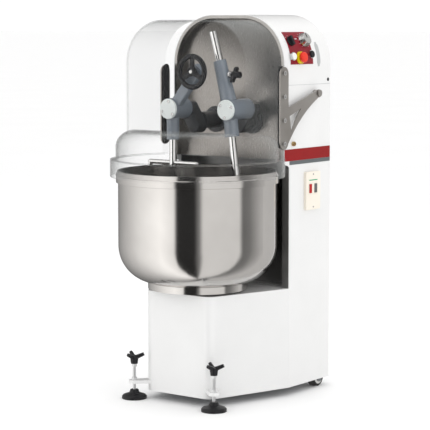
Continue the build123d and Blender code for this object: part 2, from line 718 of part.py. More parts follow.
UPPER_TOP = (60.0, RIGHT_PLANE, 1268.0)
UPPER_LOW = (103.0, RIGHT_PLANE, 1118.0)
LOWER_START = (106.0, RIGHT_PLANE, PIN_Z)
LOWER_END = (118.0, RIGHT_PLANE, 988.0)
UP = (Vector(*UPPER_TOP) - Vector(*UPPER_LOW)).normalized()
DOWN = (Vector(*LOWER_END) - Vector(*LOWER_START)).normalized()
with BuildPart() as right_arm:
    with BuildSketch(xz(RIGHT_BARREL[0])):
        with Locations((PIN_X, PIN_Z)):
            Circle(BARREL_R)
    extrude(amount=-(RIGHT_BARREL[1] - RIGHT_BARREL[0]))
    with BuildSketch(along(UPPER_LOW, UPPER_TOP)):
        Circle(30)
    with BuildSketch(Plane(origin=UPPER_TOP, z_dir=Vector(*UPPER_TOP) - Vector(*UPPER_LOW))):
        Circle(24)
    loft()
    with BuildSketch(along(LOWER_START, LOWER_END)):
        Circle(27)
    extrude(amount=(Vector(*LOWER_END) - Vector(*LOWER_START)).length)
    add(barrel_bore(PIN_X, *RIGHT_BARREL), mode=Mode.SUBTRACT)
    with BuildSketch(along(UPPER_TOP, UPPER_LOW)):
        Circle(ROD_R)
    extrude(amount=90, mode=Mode.SUBTRACT)
    with BuildSketch(along(LOWER_END, LOWER_START)):
        Circle(ROD_R)
    extrude(amount=45, mode=Mode.SUBTRACT)
    with BuildSketch(yz(60)):
        with Locations((RIGHT_PLANE, 1218)):
            Circle(6 + FIT)
    extrude(amount=80, mode=Mode.SUBTRACT)
save(right_arm, "right_arm")

for label, x, face in (("left_cap", -PIN_X, LEFT_BARREL[0]), ("right_cap", PIN_X, RIGHT_BARREL[0])):
    with BuildPart() as cap:
        with BuildSketch(xz(face)):
            with Locations((x, PIN_Z)):
                Circle(CAP_R)
        extrude(amount=CAP_THICK)
        fillet(cap.faces().sort_by(Axis.Y)[0].edges(), 3)
    save(cap, label)


TOOL_BAR = 9.0
LOOP_R = 110.0


def rod(start, end):
    """Straight round rod from start to end."""
    with BuildPart(mode=Mode.PRIVATE) as bar:
        with BuildSketch(Plane(origin=start, z_dir=end - start)):
            Circle(ROD_R - FIT)
        extrude(amount=(end - start).length)
    return bar.part


def tool_loop(x, plane_y, bottom, top):
    """Closed loop of round bar: a half ring below, two legs and a cross bar on top."""
    centre_z = bottom + LOOP_R
    with BuildPart(mode=Mode.PRIVATE) as loop:
        with Locations(Plane(origin=(x, plane_y, centre_z), z_dir=(0, 1, 0))):
            Torus(LOOP_R, TOOL_BAR)
        with Locations((x, plane_y, centre_z)):
            Box(3 * LOOP_R, 50, 2 * LOOP_R, align=(Align.CENTER, Align.CENTER, Align.MIN),
                mode=Mode.SUBTRACT)
        for sign in (-1, 1):
            with Locations((x + sign * LOOP_R, plane_y, centre_z)):
                Cylinder(TOOL_BAR, top - centre_z, align=(Align.CENTER, Align.CENTER, Align.MIN))
            with Locations((x + sign * LOOP_R, plane_y, top)):
                Sphere(TOOL_BAR)
        with Locations(Plane(origin=(x, plane_y, top), z_dir=(1, 0, 0))):
            Cylinder(TOOL_BAR, 2 * LOOP_R)
    return loop.part


LEFT_ROD_TOP = Vector(-PIN_X, LEFT_PLANE, PIN_Z - 72)
with BuildPart() as left_tool:
    add(tool_loop(-PIN_X, LEFT_PLANE, 600, 885))
    add(rod(LEFT_ROD_TOP, Vector(-PIN_X, LEFT_PLANE, 600)))
save(left_tool, "left_tool")

RIGHT_ROD_END = Vector(*LOWER_END) + DOWN * 385
with BuildPart() as right_tool:
    add(tool_loop(130, RIGHT_PLANE, 600, 800))
    add(rod(Vector(*LOWER_END) - DOWN * 44, RIGHT_ROD_END))
    add(rod(Vector(*UPPER_TOP) - UP * 88, Vector(*UPPER_TOP) + UP * 112))
save(right_tool, "right_tool")

RIM_R = 57.0
RIM_BAR = 9.5
HAND_Y = BOWL_Y - 41
with BuildPart() as handwheel:
    with BuildSketch(Plane.XY):
        with Locations((RIM_R, 0)):
            Circle(RIM_BAR)
    revolve(axis=Axis.Y)
    with BuildSketch(xz(-6)):
        Circle(17)
    extrude(amount=-14)
    with BuildSketch(xz(-3)):
        with PolarLocations(RIM_R / 2, 3, start_angle=90):
            Rectangle(RIM_R, 17)
    extrude(amount=-7)
    with BuildSketch(xz(7)):
        Circle(7)
    extrude(amount=-30)
handwheel.part = handwheel.part.moved(Location((WHEEL_HUB[0], HAND_Y, WHEEL_HUB[1])))
save(handwheel, "handwheel")

STUD_Z = 1218.0
with BuildPart() as clamp_knob:
    with BuildSketch(yz(92)):
        with Locations((RIGHT_PLANE, STUD_Z)):
            Circle(6)
    extrude(amount=45)
    with BuildSketch(yz(118)):
        with Locations((RIGHT_PLANE, STUD_Z)):
            Circle(12)
    extrude(amount=36)
    with BuildSketch(yz(122)):
        with Locations((RIGHT_PLANE, STUD_Z)):
            SlotOverall(64, 15, rotation=60)
    extrude(amount=12)
save(clamp_knob, "clamp_knob")

# ---- guard ----------------------------------------------------------------------------------


def dome(inset, low):
    """Round lower part of the guard, with a soft top edge."""
    with BuildPart(mode=Mode.PRIVATE) as form:
        with Locations((0, BOWL_Y, low)):
            Cylinder(DOME_R - inset, DOME_TOP - inset - low,
                     align=(Align.CENTER, Align.CENTER, Align.MIN))
        fillet(form.faces().sort_by(Axis.Z)[-1].edges(), 62 - inset)
    return form.part


def upper_box(inset, low, rear):
    """Arched upper part of the guard, with soft front edges."""
    with BuildPart(mode=Mode.PRIVATE) as form:
        add(arch_solid(GUARD_HALF - inset, GUARD_TOP - inset, GUARD_SHOULDER - inset, low,
                       GUARD_FRONT + inset, rear))
        front = form.faces().sort_by(Axis.Y)[0]
        fillet(front.edges().sort_by(Axis.Z)[1:], 20 - inset)
    return form.part


with BuildPart() as guard_shell:
    add(dome(0, SKIRT_BOTTOM))
    add(upper_box(0, SKIRT_BOTTOM, EAR_REAR + 10))
    with Locations((0, BOWL_Y, SKIRT_BOTTOM)):
        Cylinder(SKIRT_R, SKIRT_TOP - SKIRT_BOTTOM, align=(Align.CENTER, Align.CENTER, Align.MIN))
    add(dome(GUARD_WALL, SKIRT_BOTTOM - 5), mode=Mode.SUBTRACT)
    add(upper_box(GUARD_WALL, SKIRT_BOTTOM - 5, GUARD_REAR + 40), mode=Mode.SUBTRACT)
    with Locations((0, BOWL_Y, SKIRT_BOTTOM - 5)):
        Cylinder(SKIRT_R - GUARD_WALL, SKIRT_TOP - SKIRT_BOTTOM + 5 - GUARD_WALL,
                 align=(Align.CENTER, Align.CENTER, Align.MIN), mode=Mode.SUBTRACT)
    with Locations((0, EAR_REAR, SKIRT_BOTTOM - 5)):
        Box(800, 400, 800, align=(Align.CENTER, Align.MIN, Align.MIN), mode=Mode.SUBTRACT)
    with Locations((0, GUARD_REAR, EAR_TOP)):
        Box(800, 400, 800, align=(Align.CENTER, Align.MIN, Align.MIN), mode=Mode.SUBTRACT)
save(guard_shell, "guard_shell")

BAR_WIDTH = 54.0
BAR_Y = BOWL_Y + 158.5
BAR_LOW = 940.0
BAR_TOP = 1247.0
BOLT_Z = (962, 1049, 1137, 1224)
BOLT_R = 4.0
BOLT_Y = BOWL_Y + 157
for label, sign in (("guard_bracket_left", -1), ("guard_bracket_right", 1)):
    with BuildPart() as bracket:
        with BuildSketch(yz(sign * BRACKET_X)):
            with Locations((BAR_Y, (BAR_LOW + BAR_TOP) / 2)):
                SlotOverall(BAR_TOP - BAR_LOW, BAR_WIDTH, rotation=90)
            with BuildLine():
                top = Line((BAR_Y, 1088), (PIVOT_Y - 4, PIVOT_Z + 14))
                nose = ThreePointArc(top @ 1, (PIVOT_Y + 14, PIVOT_Z), (PIVOT_Y - 4, PIVOT_Z - 16))
                brace = ThreePointArc(nose @ 1, (BOWL_Y + 293, 1069), (BAR_Y + 18, 950))
                Line(brace @ 1, top @ 0)
            make_face()
            with BuildLine():
                window_low = (BAR_Y + 47, 1003)
                window_top = (BAR_Y + 35, 1064)
                window_tip = (BOWL_Y + 270, 1090)
                Line(window_low, window_top)
                Line(window_top, window_tip)
                ThreePointArc(window_tip, (BOWL_Y + 238, 1054), window_low)
            make_face(mode=Mode.SUBTRACT)
            with Locations((PIVOT_Y, PIVOT_Z)):
                Circle(PIVOT_R + FIT, mode=Mode.SUBTRACT)
            with Locations(*[(BOLT_Y, bolt_z) for bolt_z in BOLT_Z]):
                Circle(BOLT_R, mode=Mode.SUBTRACT)
        extrude(amount=sign * BRACKET_THICK)
    save(bracket, label)

# Black clamping strips inside the guard, and the bolt heads outside the brackets.
with BuildPart() as guard_fasteners:
    for sign in (-1, 1):
        with BuildSketch(yz(sign * (GUARD_HALF - GUARD_WALL))):
            with Locations((BOLT_Y - 4, (BAR_LOW + BAR_TOP) / 2 + 4)):
                SlotOverall(BAR_TOP - BAR_LOW, 32, rotation=90)
        extrude(amount=-sign * 4)
        for bolt_z in BOLT_Z:
            with Locations(Plane(origin=(sign * (BRACKET_X + BRACKET_THICK), BOLT_Y, bolt_z),
                                 z_dir=(sign, 0, 0))):
                Cylinder(8.5, 5, align=(Align.CENTER, Align.CENTER, Align.MIN))
                Cylinder(BOLT_R, BRACKET_THICK + 2, align=(Align.CENTER, Align.CENTER, Align.MAX))
save(guard_fasteners, "guard_fasteners")

with BuildPart() as hinge_pins:
    for sign in (-1, 1):
        with Locations(Plane(origin=(sign * (HALF_WIDTH - 10), PIVOT_Y, PIVOT_Z), z_dir=(sign, 0, 0))):
            Cylinder(PIVOT_R, 36, align=(Align.CENTER, Align.CENTER, Align.MIN))
        with Locations(Plane(origin=(sign * HALF_WIDTH, PIVOT_Y, PIVOT_Z), z_dir=(sign, 0, 0))):
            Cylinder(13, BRACKET_X - HALF_WIDTH - 0.5, align=(Align.CENTER, Align.CENTER, Align.MIN))
        with Locations(Plane(origin=(sign * (BRACKET_X + BRACKET_THICK + 0.5), PIVOT_Y, PIVOT_Z),
                             z_dir=(sign, 0, 0))):
            Cylinder(13, 4, align=(Align.CENTER, Align.CENTER, Align.MIN))
save(hinge_pins, "hinge_pins")

# ---- feet, wheels and the cable entry -----------------------------------------------------------
ARM_LOW = 58.0
ARM_HIGH = 70.0
SPINDLE_R = 6.0
with BuildPart() as foot_arms:
    for sign in (-1, 1):
        with BuildSketch(Plane.XY.offset(ARM_LOW)):
            with Locations((sign * FOOT_X, FOOT_Y)):
                Circle(20)
            with Locations((sign * 130, BASE_FRONT + 34)):
                Circle(26)
            make_hull()
            add(base_plan(LOWER_FRONT + 60), mode=Mode.SUBTRACT)
            with Locations((sign * FOOT_X, FOOT_Y)):
                Circle(SPINDLE_R + FIT, mode=Mode.SUBTRACT)
        extrude(amount=ARM_HIGH - ARM_LOW)
        with BuildSketch(Plane.XY.offset(ARM_HIGH)):
            with Locations((sign * FOOT_X, FOOT_Y)):
                RegularPolygon(10, 6)
                Circle(SPINDLE_R + FIT, mode=Mode.SUBTRACT)
        extrude(amount=10)
save(foot_arms, "foot_arms")

PAD_TOP = 34.0
KNOB_LOW = 132.0
for side, sign in (("left", -1), ("right", 1)):
    with BuildPart() as pad:
        with BuildSketch(Plane.XZ):
            with BuildLine():
                Polyline(
                    (0, 0),
                    (47, 0),
                    (47, 9),
                    (42, 14),
                    (20, 22),
                    (15, PAD_TOP),
                    (0, PAD_TOP),
                    close=True,
                )
            make_face()
        revolve(axis=Axis.Z)
    pad.part = pad.part.moved(Location((sign * FOOT_X, FOOT_Y, 0)))
    with BuildPart() as foot:
        add(pad.part)
        with Locations((sign * FOOT_X, FOOT_Y, PAD_TOP)):
            Cylinder(SPINDLE_R, KNOB_LOW - PAD_TOP, align=(Align.CENTER, Align.CENTER, Align.MIN))
        with BuildSketch(Plane.XY.offset(KNOB_LOW - 11)):
            with Locations((sign * FOOT_X, FOOT_Y)):
                RegularPolygon(10, 6)
        extrude(amount=11)
    save(foot, f"foot_{side}")
    with BuildPart() as knob:
        with Locations((sign * FOOT_X, FOOT_Y, KNOB_LOW)):
            Cone(13, 17, 30, align=(Align.CENTER, Align.CENTER, Align.MIN))
        for turn in (30, 150, 270):
            lean = Plane(
                origin=(sign * FOOT_X, FOOT_Y, KNOB_LOW + 21),
                z_dir=(cos(radians(turn)), sin(radians(turn)), 0.45),
            )
            with Locations(lean):
                Cone(9, 6.5, 40, align=(Align.CENTER, Align.CENTER, Align.MIN))
    save(knob, f"foot_knob_{side}")

AXLE_R = 6.0
WHEEL_WIDTH = 34.0
for side, sign in (("left", -1), ("right", 1)):
    with BuildPart() as wheel:
        with BuildSketch(yz(sign * WHEEL_X - WHEEL_WIDTH / 2)):
            with Locations((WHEEL_Y, WHEEL_R)):
                Circle(WHEEL_R)
                Circle(AXLE_R + FIT, mode=Mode.SUBTRACT)
        extrude(amount=WHEEL_WIDTH)
        chamfer(wheel.edges().filter_by(GeomType.CIRCLE).filter_by(lambda edge: edge.radius > 20), 3)
    save(wheel, f"rear_wheel_{side}")

with BuildPart() as wheel_brackets:
    for sign in (-1, 1):
        for cheek_x in (WHEEL_X - 21, WHEEL_X + 21):
            with BuildSketch(yz(sign * cheek_x - 2)):
                with Locations((WHEEL_Y, WHEEL_R)):
                    SlotCenterToCenter(0.1, 34)
                with Locations((WHEEL_Y, 57)):
                    Rectangle(34, 44)
            extrude(amount=4)
        with Locations((sign * WHEEL_X, WHEEL_Y, 75)):
            Box(46, 34, 4)
        with BuildSketch(yz(sign * WHEEL_X - 23)):
            with Locations((WHEEL_Y, WHEEL_R)):
                Circle(AXLE_R)
        extrude(amount=46)
save(wheel_brackets, "wheel_brackets")

GLAND_BORE = 5.0
with BuildPart() as cable_gland:
    with Locations(Plane(origin=(-HALF_WIDTH, GLAND_Y, GLAND_Z), z_dir=(-1, 0, 0))):
        Cylinder(GLAND_R, 16, align=(Align.CENTER, Align.CENTER, Align.CENTER))
        Cylinder(15, 9, align=(Align.CENTER, Align.CENTER, Align.MIN))
        Cylinder(12, 22, align=(Align.CENTER, Align.CENTER, Align.MIN))
        Cylinder(GLAND_BORE, 80, mode=Mode.SUBTRACT)
save(cable_gland, "cable_gland")
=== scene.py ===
import math

import bmesh
import bpy
from mathutils import Matrix, Vector


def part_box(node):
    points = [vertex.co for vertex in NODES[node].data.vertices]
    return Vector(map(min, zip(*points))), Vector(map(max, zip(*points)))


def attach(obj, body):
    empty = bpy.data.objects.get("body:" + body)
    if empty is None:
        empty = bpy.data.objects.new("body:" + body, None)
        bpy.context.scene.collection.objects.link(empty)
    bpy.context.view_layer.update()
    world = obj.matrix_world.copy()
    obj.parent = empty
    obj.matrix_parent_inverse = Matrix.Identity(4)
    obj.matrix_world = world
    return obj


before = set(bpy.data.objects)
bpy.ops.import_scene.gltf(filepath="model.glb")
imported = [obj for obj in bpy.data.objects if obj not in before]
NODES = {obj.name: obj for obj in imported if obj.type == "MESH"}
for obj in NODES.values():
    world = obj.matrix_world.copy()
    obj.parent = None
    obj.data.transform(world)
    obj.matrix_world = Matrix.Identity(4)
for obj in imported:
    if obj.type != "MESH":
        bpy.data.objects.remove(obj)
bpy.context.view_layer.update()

# ---- places, in metres, taken from the frame's own boxes ------------------------------------
BOWL_LOW, BOWL_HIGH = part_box("bowl")
BOWL_Y = (BOWL_LOW[1] + BOWL_HIGH[1]) / 2
HOOD_LOW, HOOD_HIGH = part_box("top_hood")
SIDE_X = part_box("side_panel_right")[1][0]
SHOULDER_R = 0.186
SHOULDER_X = SIDE_X - SHOULDER_R
SHOULDER_Z = HOOD_HIGH[2] - SHOULDER_R
PLATE = 0.002                  # thickness of the red control plate
HEADING = math.radians(36.7)   # how far round the camera stands from straight in front


# ---- materials ---------------------------------------------------------------------------------
def material(name, color, metallic=0.0, roughness=0.5, **sockets):
    """New Principled material. Returns it with its node tree and shader."""
    mat = bpy.data.materials.new(name)
    mat.use_nodes = True
    tree = mat.node_tree
    shader = tree.nodes["Principled BSDF"]
    shader.inputs["Base Color"].default_value = (*color, 1)
    shader.inputs["Metallic"].default_value = metallic
    shader.inputs["Roughness"].default_value = roughness
    for socket, value in sockets.items():
        shader.inputs[socket.replace("_", " ")].default_value = value
    return mat, tree, shader


def object_noise(tree, scale, detail=3.0, stretch=(1, 1, 1)):
    """Noise in the object's own coordinates, stretched along an axis for grain."""
    coords = tree.nodes.new("ShaderNodeTexCoord")
    mapping = tree.nodes.new("ShaderNodeMapping")
    mapping.inputs["Scale"].default_value = stretch
    noise = tree.nodes.new("ShaderNodeTexNoise")
    noise.inputs["Scale"].default_value = scale
    noise.inputs["Detail"].default_value = detail
    tree.links.new(coords.outputs["Object"], mapping.inputs["Vector"])
    tree.links.new(mapping.outputs["Vector"], noise.inputs["Vector"])
    return noise.outputs["Fac"]


def spread(tree, value, low, high):
    """Map a 0 to 1 value onto low to high."""
    remap = tree.nodes.new("ShaderNodeMapRange")
    remap.inputs["From Min"].default_value = 0.3
    remap.inputs["From Max"].default_value = 0.7
    remap.inputs["To Min"].default_value = low
    remap.inputs["To Max"].default_value = high
    tree.links.new(value, remap.inputs["Value"])
    return remap.outputs["Result"]


def vary_color(tree, shader, value, dark, light):
    """Colour that drifts between two close tones."""
    mix = tree.nodes.new("ShaderNodeMix")
    mix.data_type = "RGBA"
    mix.inputs["A"].default_value = (*dark, 1)
    mix.inputs["B"].default_value = (*light, 1)
    tree.links.new(spread(tree, value, 0, 1), mix.inputs["Factor"])
    tree.links.new(mix.outputs["Result"], shader.inputs["Base Color"])
    return mix.outputs["Result"]


def bump(tree, shader, value, strength, distance):
    """Fine relief from a value."""
    node = tree.nodes.new("ShaderNodeBump")
    node.inputs["Strength"].default_value = strength
    node.inputs["Distance"].default_value = distance
    tree.links.new(value, node.inputs["Height"])
    tree.links.new(node.outputs["Normal"], shader.inputs["Normal"])


def finish_material(name, dark, light, metallic, rough, grain, relief, **sockets):
    """Surface with a drifting tone, uneven roughness and a fine grain."""
    mat, tree, shader = material(name, light, metallic, rough[0], **sockets)
    cloud = object_noise(tree, 6.0, 4.0)
    vary_color(tree, shader, cloud, dark, light)
    fine = object_noise(tree, *grain)
    tree.links.new(spread(tree, fine, rough[0], rough[1]), shader.inputs["Roughness"])
    bump(tree, shader, fine, relief, 0.0004)
    return mat, tree, shader


def paint(name, dark, light, rough=(0.25, 0.34), relief=0.08):
    """Powder coat or enamel with a faint orange peel."""
    return finish_material(name, dark, light, 0.0, rough, (900.0, 2.0), relief, Coat_Weight=0.25)[0]


def brushed(name, dark, light, rough, stretch, relief=0.06):
    """Stainless sheet or spun steel, brushed along one direction."""
    return finish_material(name, dark, light, 1.0, rough, (60.0, 6.0, stretch), relief)[0]


def painted_reflection_steel(name, dark, light, rough, stretch, relief):
    """Brushed sheet with a painted reflection: a darker tone towards the top and the right, painted in for
    the dark surroundings it reflects there.
    """
    mat = brushed(name, dark, light, rough, stretch, relief)
    tree = mat.node_tree
    shader = tree.nodes["Principled BSDF"]
    unshaded_tone = shader.inputs["Base Color"].links[0].from_socket
    coords = tree.nodes.new("ShaderNodeTexCoord")
    axes = tree.nodes.new("ShaderNodeSeparateXYZ")
    tree.links.new(coords.outputs["Object"], axes.inputs["Vector"])
    across = tree.nodes.new("ShaderNodeMath")
    across.operation = "MULTIPLY_ADD"
    across.inputs[1].default_value = 0.45
    tree.links.new(axes.outputs["X"], across.inputs[0])
    tree.links.new(axes.outputs["Z"], across.inputs[2])
    fade = tree.nodes.new("ShaderNodeMapRange")
    fade.interpolation_type = "SMOOTHERSTEP"
    fade.inputs["From Min"].default_value = 1.17
    fade.inputs["From Max"].default_value = 1.38
    fade.inputs["To Min"].default_value = 0.0
    fade.inputs["To Max"].default_value = 0.72
    tree.links.new(across.outputs["Value"], fade.inputs["Value"])
    # Painted reflection: the sheet's tone is mixed towards near black higher up and further right.
    painted_reflection_mix = tree.nodes.new("ShaderNodeMix")
    painted_reflection_mix.data_type = "RGBA"
    painted_reflection_mix.inputs["B"].default_value = (0.05, 0.048, 0.045, 1)
    tree.links.new(unshaded_tone, painted_reflection_mix.inputs["A"])
    tree.links.new(fade.outputs["Result"], painted_reflection_mix.inputs["Factor"])
    tree.links.new(painted_reflection_mix.outputs["Result"], shader.inputs["Base Color"])
    return mat


def spun(name, dark, light, rough):
    """Steel spun on a lathe: the brushing runs round Z, so reflections stretch up and down."""
    mat, tree, shader = finish_material(name, dark, light, 1.0, rough, (60.0, 6.0, (1, 1, 14)), 0.02,
                                        Anisotropic=0.8, Anisotropic_Rotation=0.25)
    tangent = tree.nodes.new("ShaderNodeTangent")
    tangent.direction_type = "RADIAL"
    tangent.axis = "Z"
    tree.links.new(tangent.outputs["Tangent"], shader.inputs["Tangent"])
    return mat


def plastic(name, dark, light, rough=(0.35, 0.5)):
    """Moulded plastic with a fine spark-eroded texture."""
    return finish_material(name, dark, light, 0.0, rough, (1500.0, 2.0), 0.12,
                           Specular_IOR_Level=0.22)[0]


def split_by(mat, axis, limits, inside_color, inside_metallic, inside_rough, radial=None):
    """Give the part of a material that lies between two limits another finish.

    The measure is one object coordinate, its size without sign, or the distance from a line."""
    tree = mat.node_tree
    shader = tree.nodes["Principled BSDF"]
    coords = tree.nodes.new("ShaderNodeTexCoord")
    axes = tree.nodes.new("ShaderNodeSeparateXYZ")
    tree.links.new(coords.outputs["Object"], axes.inputs["Vector"])
    if radial:
        flat = tree.nodes.new("ShaderNodeCombineXYZ")
        for other in radial["axes"]:
            tree.links.new(axes.outputs[other], flat.inputs[other])
        away = tree.nodes.new("ShaderNodeVectorMath")
        away.operation = "DISTANCE"
        away.inputs[1].default_value = radial["centre"]
        tree.links.new(flat.outputs["Vector"], away.inputs[0])
        measure = away.outputs["Value"]
    else:
        size = tree.nodes.new("ShaderNodeMath")
        size.operation = "ABSOLUTE"
        tree.links.new(axes.outputs[axis], size.inputs[0])
        measure = size.outputs["Value"]
    centre = sum(limits) / 2
    within = tree.nodes.new("ShaderNodeMath")
    within.operation = "COMPARE"
    within.inputs[1].default_value = centre
    within.inputs[2].default_value = limits[1] - centre
    tree.links.new(measure, within.inputs[0])
    base = tree.nodes.new("ShaderNodeMix")
    base.data_type = "RGBA"
    base.inputs["B"].default_value = (*inside_color, 1)
    source = shader.inputs["Base Color"].links[0].from_socket
    tree.links.new(source, base.inputs["A"])
    tree.links.new(within.outputs["Value"], base.inputs["Factor"])
    tree.links.new(base.outputs["Result"], shader.inputs["Base Color"])
    for socket, value in (("Metallic", inside_metallic), ("Roughness", inside_rough)):
        mix = tree.nodes.new("ShaderNodeMix")
        outside = shader.inputs[socket]
        mix.inputs["A"].default_value = outside.default_value
        mix.inputs["B"].default_value = value
        if outside.links:
            tree.links.new(outside.links[0].from_socket, mix.inputs["A"])
        tree.links.new(within.outputs["Value"], mix.inputs["Factor"])
        tree.links.new(mix.outputs["Result"], outside)
    return mat


ZINC = (0.62, 0.63, 0.64)
WHITE_PAINT = paint("white_paint", (0.79, 0.79, 0.785), (0.82, 0.82, 0.815))
ARMS_PAINT = split_by(paint("arms_paint", (0.79, 0.79, 0.785), (0.82, 0.82, 0.815)), "Z",
                      (0.0702, 0.09), ZINC, 1.0, 0.3)
MACHINE_PAINT = paint("machine_paint", (0.12, 0.13, 0.14), (0.16, 0.17, 0.18), (0.4, 0.55))
GREY_ENAMEL = paint("grey_enamel", (0.16, 0.185, 0.215), (0.19, 0.215, 0.245), (0.16, 0.26), 0.3)
CAP_GLOSS = paint("cap_gloss", (0.7, 0.74, 0.73), (0.78, 0.82, 0.8), (0.1, 0.2))
SPUN_STEEL = spun("spun_steel", (0.56, 0.545, 0.53), (0.62, 0.605, 0.59), (0.12, 0.17))
# Arm panel steel, with a painted dark reflection towards its top and right.
SHEET_STEEL = painted_reflection_steel("sheet_steel", (0.27, 0.255, 0.24), (0.33, 0.315, 0.3), (0.26, 0.34), (9, 1, 1), 0.02)
FRAME_STEEL = brushed("frame_steel", (0.34, 0.33, 0.32), (0.46, 0.45, 0.43), (0.24, 0.36), (1, 1, 14))
LINER_STEEL = brushed("liner_steel", (0.2, 0.2, 0.2), (0.28, 0.28, 0.28), (0.35, 0.5), (1, 1, 14))
BRACKET_STEEL = brushed("bracket_steel", (0.36, 0.34, 0.32), (0.46, 0.44, 0.42), (0.28, 0.4), (1, 9, 1))
MACHINED = brushed("machined_steel", (0.5, 0.5, 0.5), (0.6, 0.6, 0.6), (0.25, 0.35), (1, 10, 1))
CHROME = brushed("chrome", (0.7, 0.7, 0.7), (0.78, 0.78, 0.78), (0.04, 0.09), (1, 1, 3))
DARK_CASTING = finish_material("dark_casting", (0.03, 0.032, 0.035), (0.055, 0.058, 0.062), 0.3,
                               (0.3, 0.42), (350.0, 4.0), 0.35)[0]
BLACK_PLASTIC = plastic("black_plastic", (0.012, 0.012, 0.014), (0.02, 0.02, 0.023))
BLACK_GLOSS = plastic("black_gloss", (0.01, 0.01, 0.012), (0.018, 0.018, 0.02), (0.12, 0.2))
RUBBER = plastic("belt_rubber", (0.012, 0.012, 0.012), (0.02, 0.02, 0.02), (0.6, 0.75))
LABEL = split_by(plastic("label_red", (0.26, 0.002, 0.003), (0.29, 0.003, 0.004), (0.2, 0.26)), "Z",
                 (0.87, 0.893), (0.12, 0.135, 0.14), 0.0, 0.3)
CONTROL_RED = plastic("control_red", (0.22, 0.006, 0.016), (0.26, 0.012, 0.024), (0.22, 0.32))
BUTTON_WHITE = plastic("button_white", (0.8, 0.8, 0.79), (0.86, 0.86, 0.85), (0.15, 0.25))
ESTOP_RED = plastic("estop_red", (0.72, 0.035, 0.02), (0.8, 0.06, 0.035), (0.18, 0.28))
SILVER = brushed("knob_silver", (0.56, 0.56, 0.56), (0.7, 0.7, 0.7), (0.18, 0.3), (1, 1, 1))
CREAM = plastic("cream_plastic", (0.86, 0.8, 0.7), (0.9, 0.85, 0.76), (0.35, 0.45))
KEY_RED = plastic("key_red", (0.42, 0.012, 0.012), (0.5, 0.02, 0.02), (0.2, 0.3))
KEY_GREY = plastic("key_grey", (0.1, 0.1, 0.1), (0.16, 0.16, 0.16), (0.3, 0.4))
TICK_WHITE = plastic("tick_white", (0.75, 0.75, 0.75), (0.8, 0.8, 0.8))
GREEN = plastic("stripe_green", (0.02, 0.35, 0.16), (0.03, 0.42, 0.2))
BRASS = brushed("brass", (0.52, 0.36, 0.17), (0.62, 0.45, 0.22), (0.2, 0.3), (1, 1, 1))
# Grey of the hood seam, and of the painted shade on the shoulder strip.
SEAM_AND_SHADE_GREY = plastic("seam_and_shade_grey", (0.42, 0.43, 0.43), (0.5, 0.51, 0.51))
FOOT_BLACK = split_by(plastic("foot_rubber", (0.012, 0.012, 0.013), (0.02, 0.02, 0.022), (0.25, 0.4)),
                      "Z", (0.0342, 0.14), ZINC, 1.0, 0.28)
STRIPS = split_by(plastic("guard_strips", (0.012, 0.012, 0.013), (0.02, 0.02, 0.022), (0.3, 0.4)),
                  "X", (0.274, 0.3), (0.6, 0.6, 0.6), 1.0, 0.22)
ESTOP_LOW, ESTOP_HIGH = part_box("estop_button")
RINGS = split_by(brushed("bezel_chrome", (0.65, 0.65, 0.65), (0.75, 0.75, 0.75), (0.1, 0.2), (1, 1, 1)),
                 "Y", (ESTOP_LOW[1] - 0.004, ESTOP_HIGH[1] + 0.004), (0.82, 0.7, 0.01), 0.0, 0.3)


def wheel_material():
    """Black tread with a pale hub inside it."""
    low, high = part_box("rear_wheel_right")
    centre = (0, (low[1] + high[1]) / 2, (low[2] + high[2]) / 2)
    tread = plastic("wheel_tread", (0.014, 0.014, 0.014), (0.022, 0.022, 0.022), (0.45, 0.6))
    radial = {"axes": ("Y", "Z"), "centre": centre}
    return split_by(tread, "Y", (-0.026, 0.026), (0.62, 0.62, 0.6), 0.0, 0.4, radial)


def guard_material():
    """Clear moulded plastic: nearly invisible face on, greyer and glossier at a glance."""
    mat, tree, shader = material("clear_guard", (0.36, 0.37, 0.365), 0.0, 0.05, IOR=1.49)
    edge = tree.nodes.new("ShaderNodeLayerWeight")
    edge.inputs["Blend"].default_value = 0.5
    falloff = tree.nodes.new("ShaderNodeMath")
    falloff.operation = "POWER"
    falloff.inputs[1].default_value = 3.0
    tree.links.new(edge.outputs["Facing"], falloff.inputs[0])
    haze = object_noise(tree, 9.0, 3.0)
    opacity = tree.nodes.new("ShaderNodeMapRange")
    opacity.inputs["To Min"].default_value = 0.014
    opacity.inputs["To Max"].default_value = 0.7
    tree.links.new(falloff.outputs["Value"], opacity.inputs["Value"])
    cloud = tree.nodes.new("ShaderNodeMath")
    cloud.operation = "MULTIPLY"
    tree.links.new(opacity.outputs["Result"], cloud.inputs[0])
    tree.links.new(spread(tree, haze, 0.9, 1.1), cloud.inputs[1])
    tree.links.new(cloud.outputs["Value"], shader.inputs["Alpha"])
    return mat


